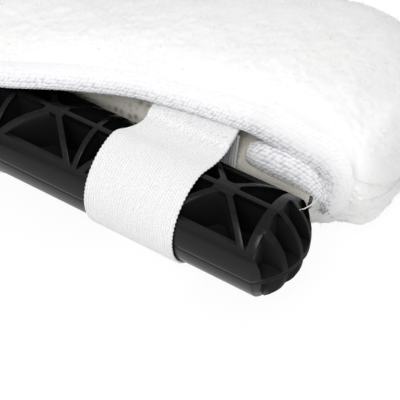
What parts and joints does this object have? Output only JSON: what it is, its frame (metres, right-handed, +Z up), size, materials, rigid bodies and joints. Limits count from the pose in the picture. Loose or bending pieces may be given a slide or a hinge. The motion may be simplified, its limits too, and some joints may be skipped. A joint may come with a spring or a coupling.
{
  "type": "window scrubber",
  "caption": "T-bar window scrubber with a lattice bar, a white pile sleeve held by elastic loops and a swivelling grip handle.",
  "frame": {"origin": "on the floor, under the middle of the bar, where the sleeve's flat underside rests", "axes": "+X along the bar towards its right end, +Y away from the handle, +Z up"},
  "size_m": [0.3666, 0.3157, 0.0629],
  "materials": {
    "moulded_plastic": "satin black moulded polypropylene",
    "knob_plastic": "fine textured black plastic",
    "steel": "bright zinc plated",
    "brass": "turned",
    "nylon": "natural nylon",
    "grip_rubber": "matt charcoal rubber",
    "pile": "white cut pile",
    "lining_knit": "grey beige knit",
    "binding_tape": "white woven tape",
    "elastic_knit": "white knitted elastic",
    "thread": "white sewing thread"
  },
  "bodies": {
    "bar": {"lattice_bar": "moulded_plastic", "pivot_bolt": "steel", "wear_washers": "nylon", "knob_washer": "steel", "pile_sleeve": "pile", "sleeve_lining": "lining_knit", "upper_binding": "binding_tape", "lower_binding": "binding_tape", "right_elastic": "elastic_knit", "left_elastic": "elastic_knit", "right_tack": "thread", "left_tack": "thread"},
    "handle": {"swivel_head": "moulded_plastic", "handle_tube": "moulded_plastic", "handle_screws": "steel", "rubber_grip": "grip_rubber", "grip_ring": "moulded_plastic", "pole_socket": "moulded_plastic"},
    "knob": {"tension_knob": "knob_plastic", "knob_nut": "brass"}
  },
  "joints": [
    {"name": "handle_swivel", "type": "hinge", "parent": "bar", "child": "handle", "pos_m": [0, -0.04, 0.024], "axis": [0, 0, 1], "range_deg": [-60, 60]},
    {"name": "knob_turn", "type": "hinge", "parent": "bar", "child": "knob", "pos_m": [0, -0.04, 0.024], "axis": [0, 0, 1], "range_deg": [-90, 270]}
  ]
}
